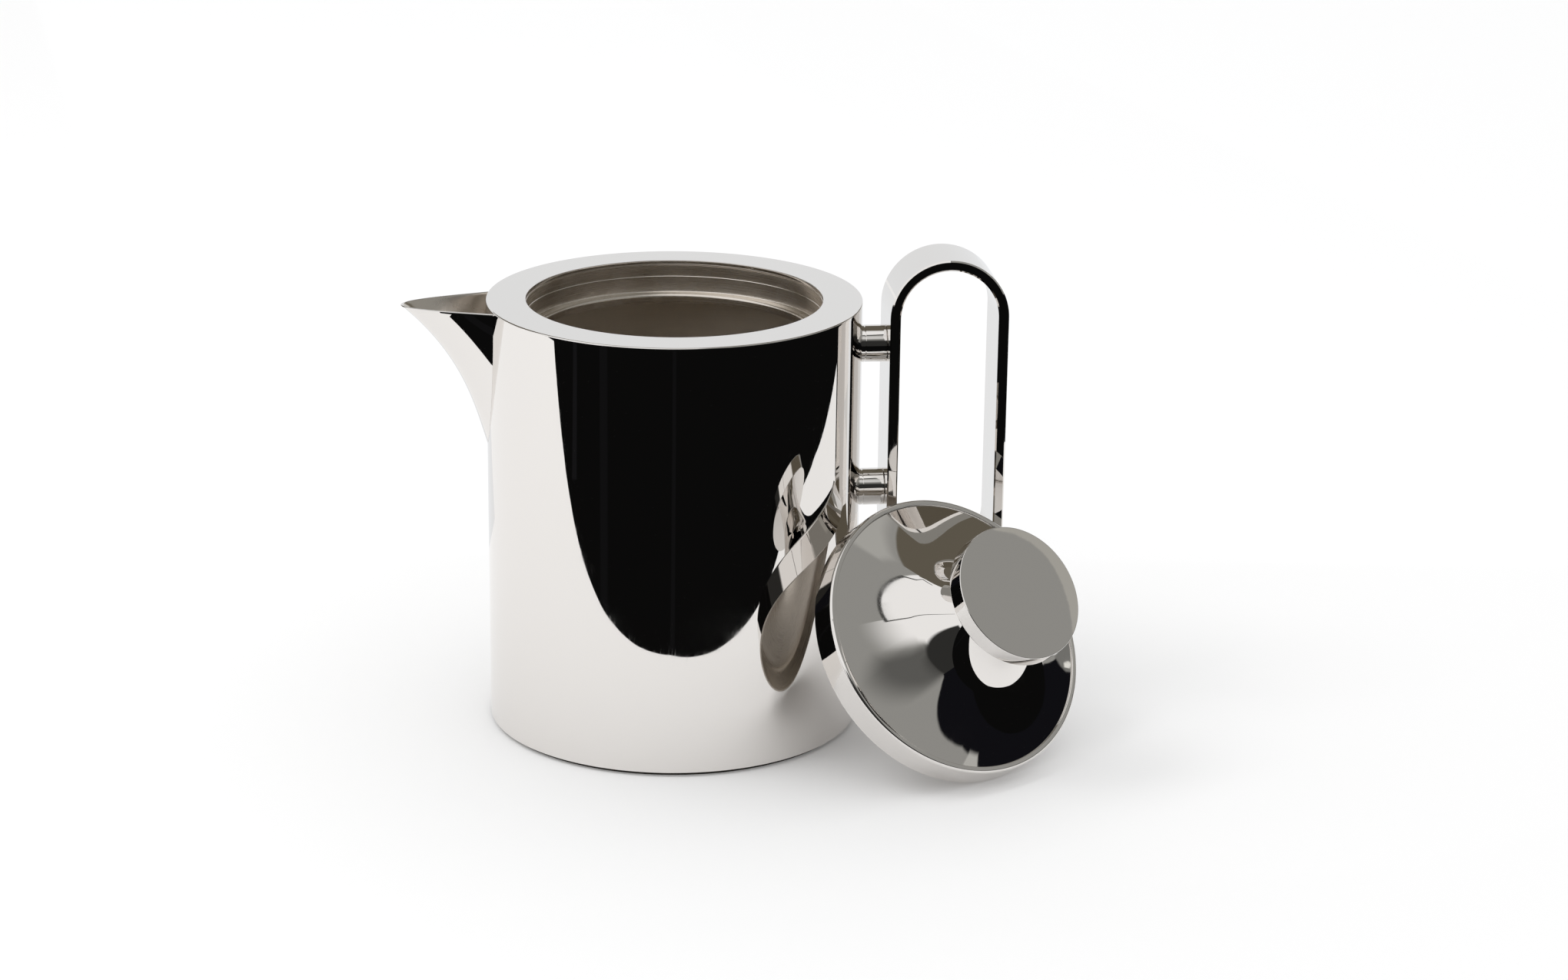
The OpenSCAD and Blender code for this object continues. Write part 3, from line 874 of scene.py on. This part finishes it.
def make_grey_cards():
    """The grey walls of the room on the right, with what is paler and darker in front of them."""
    sky_card("bright_wedge", [(14, 9.5), (20, 16), (25, 22), (34, 24), (34, 8), (22, 4), (14, 5)],
             grey(0.44), 2.1, 3.0)
    sky_card("low_dark",
             [(-60, -60), (0, -57), (12, -57), (20, -57.5), (27, -61), (36, -65), (44, -69), (44, -96),
              (-60, -96)],
             grey(0.03), 2.2, 6.0)
    sky_card("low_dim",
             [(15, -49), (19, -42), (27, -46), (34, -55), (40, -66), (30, -70), (10, -66), (4, -59),
              (11, -53)],
             grey(0.12), 2.25, 10.0)
    curve = [(52.7, 1.02), (53.69, 1.88), (54.95, 0.99), (55.59, 0.06)]
    crescent = [bezier(curve, k / 8) for k in range(9)]
    sky_card("crescent", crescent + [(57.5, 0.1), (57.5, 3), (52, 3), (52, 0.8)],
             (0.432, 0.425, 0.395), 2.29, 0.06)
    sky_card("grey_walls",
             [(9.3, 14), (9.3, -27.5), (20, -27.5), (90, -27.5), (90, 70), (30, 70), (8, 30)],
             grey(0.32), 2.3, 0.5)
    sky_card("grey_low",
             [(10.5, -20), (11.5, -34), (13, -41), (11, -48), (4, -54), (4, -62), (20, -90), (96, -90),
              (96, -20)],
             grey(0.32), 2.35, 10.0)


def make_backdrop_card():
    """The lit lower part of the backdrop, behind the table's far edge."""
    sky_card("backdrop_low",
             [(-62, 40), (-36, 62), (0, 68), (36, 62), (62, 40), (84, 50), (56, 82), (0, 98), (-56, 82),
              (-84, 50)],
             (0.85, 0.865, 0.88), 1.85, 0.5)


# ---- Build ----
STEEL = polished_steel("polished_steel", wear=0.07, wave=1.0e-5)
KNOB_STEEL = polished_steel("knob_steel", wear=0.025, wave=2.0e-6)
SATIN = satin_steel("satin_steel", SATIN_TONE, 0.22)
INSIDE = satin_steel("inside_steel", INSIDE_TONE, 0.46)
LID_INSIDE = satin_steel("lid_inside_steel", LID_INSIDE_TONE, 0.26)
BASE_STEEL = base_steel("base_steel", INSIDE_TONE, 0.46)

make_camera()
make_wall(STEEL, INSIDE)
make_ring(STEEL)
make_collar(SATIN)
make_spout(STEEL, SATIN)
make_handle(STEEL)
make_post("post_upper", POST_TOP, "upper_post", STEEL)
make_post("post_lower", POST_LOW, "lower_post", STEEL)
make_lid(STEEL, LID_INSIDE)
make_knob(KNOB_STEEL)
dress_cad(["base_plate"], BASE_STEEL)
dress_cad(["knob_washer", "knob_screw"], SATIN)
make_studio()
make_floor_cards()
make_small_cards()
make_dark_cards()
make_box_cards()
make_grey_cards()
make_backdrop_card()

bpy.context.scene.view_settings.view_transform = "Standard"
